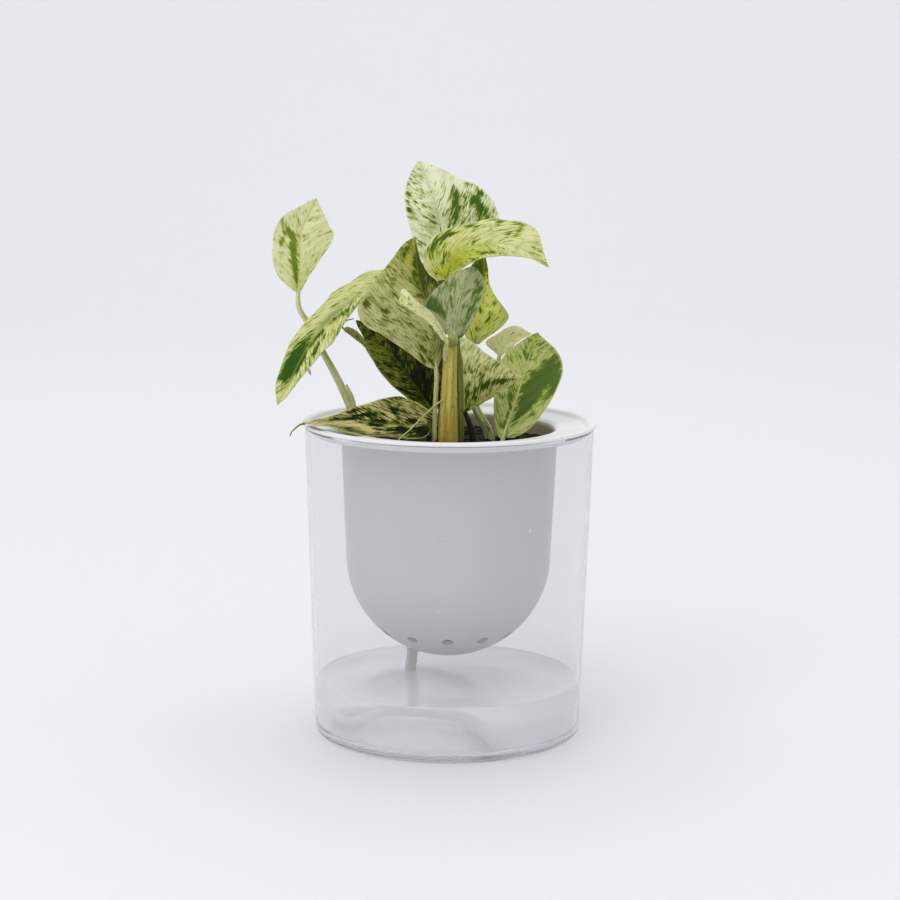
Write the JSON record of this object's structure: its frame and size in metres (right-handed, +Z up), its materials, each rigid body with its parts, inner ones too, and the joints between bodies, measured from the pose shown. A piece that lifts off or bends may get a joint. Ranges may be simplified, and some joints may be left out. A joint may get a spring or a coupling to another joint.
{
  "type": "potted golden pothos",
  "caption": "Young marbled pothos standing in a white insert with drain holes, hung by its flange in a clear cup of water that a cotton wick reaches.",
  "frame": {"origin": "centre of the clear cup's bottom face", "axes": "+Z up along the cup's axis, -Y towards the picture's camera, +X to its right"},
  "size_m": [0.1224, 0.11, 0.2147],
  "materials": {
    "clear_plastic": "clear, polished",
    "white_plastic": "satin white, slightly translucent",
    "soil": "moist dark potting mix",
    "water": "still clear water",
    "cotton": "soft twisted cotton",
    "stem": "waxy olive green",
    "leaf_cream": "waxy cream with green flecks",
    "leaf_marbled": "waxy, cream and green marbled",
    "leaf_green": "waxy dark green with cream streaks"
  },
  "bodies": {
    "root": {"outer_cup": "clear_plastic", "insert_pot": "white_plastic", "soil": "soil", "water": "water", "wick": "cotton", "main_stem": "stem", "leaf_small_left": "leaf_cream", "leaf_arching_left": "leaf_marbled", "leaf_pale_centre": "leaf_marbled", "leaf_top": "leaf_cream", "leaf_drooping_right": "leaf_cream", "leaf_cupped_centre": "leaf_marbled", "leaf_young_bright": "leaf_cream", "leaf_behind_right": "leaf_marbled", "leaf_small_behind": "leaf_cream", "leaf_low_right": "leaf_green", "leaf_speckled_right": "leaf_marbled", "leaf_over_rim_left": "leaf_green", "leaf_shaded_left": "leaf_green", "leaf_behind_left": "leaf_green"}
  },
  "joints": []
}
